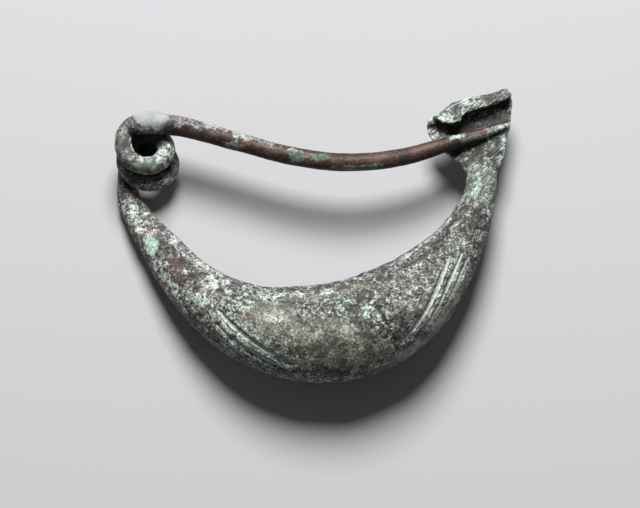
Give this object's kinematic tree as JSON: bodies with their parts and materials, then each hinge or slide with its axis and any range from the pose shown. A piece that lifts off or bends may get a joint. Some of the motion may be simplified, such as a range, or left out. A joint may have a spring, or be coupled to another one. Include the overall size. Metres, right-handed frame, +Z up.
{
  "type": "bow fibula brooch",
  "caption": "Ancient bronze safety-pin brooch with a swollen, grooved leech-shaped bow, a coiled spring, a long pin and a rolled catch-plate, lying on its side.",
  "frame": {"origin": "middle of the box's underside, on the surface that the brooch lies on", "axes": "+X along the brooch from the coil to the catch, +Y from the belly of the bow to the pin, +Z up, out of the brooch's side"},
  "size_m": [0.0642, 0.0478, 0.0151],
  "materials": {
    "patinated_bronze": "dark brown-grey bronze under a mottled green and whitish patina"
  },
  "bodies": {
    "root": {"fibula": "patinated_bronze"}
  },
  "joints": []
}
